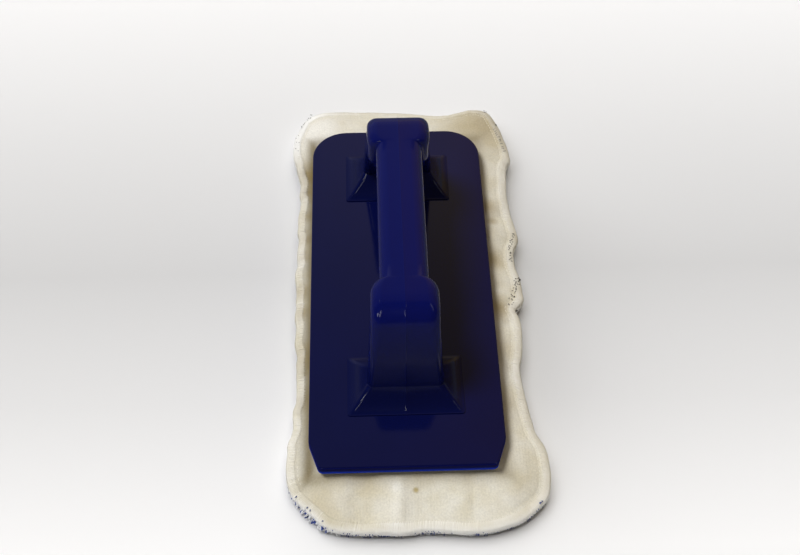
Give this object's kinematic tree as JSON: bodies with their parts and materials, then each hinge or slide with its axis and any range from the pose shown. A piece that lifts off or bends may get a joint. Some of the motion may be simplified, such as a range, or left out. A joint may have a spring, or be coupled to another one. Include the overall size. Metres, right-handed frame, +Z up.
{
  "type": "hand pad holder",
  "caption": "Hand-held cleaning pad holder: flat plastic plate with a flared bow handle and hook tape below, gripping a soft overlocked cleaning pad.",
  "frame": {"origin": "on the working surface under the middle of the base plate", "axes": "+X to the right, +Y to the rear along the plate, +Z up towards the grip"},
  "size_m": [0.1354, 0.2924, 0.0829],
  "materials": {
    "plate_plastic": "satin moulded navy polypropylene",
    "handle_plastic": "glossy moulded navy polypropylene",
    "screw_steel": "zinc plated",
    "hook_tape": "woven nylon hook tape",
    "loop_cloth": "brushed loop knit, cream",
    "wadding": "needled polyester wadding",
    "cleaning_pile": "blue and white tufted pile",
    "hem_thread": "overlock thread, cream with blue flecks"
  },
  "bodies": {
    "pad": {"pile": "cleaning_pile", "wadding": "wadding", "backing": "loop_cloth", "overlock_hem": "hem_thread"},
    "holder": {"base_plate": "plate_plastic", "handle": "handle_plastic", "front_left_screw": "screw_steel", "front_right_screw": "screw_steel", "rear_left_screw": "screw_steel", "rear_right_screw": "screw_steel", "left_hook_tape": "hook_tape", "right_hook_tape": "hook_tape"}
  },
  "joints": [
    {"name": "pad_release", "type": "slide", "parent": "pad", "child": "holder", "axis": [0, 0, 1], "range_m": [0, 0.08]}
  ]
}
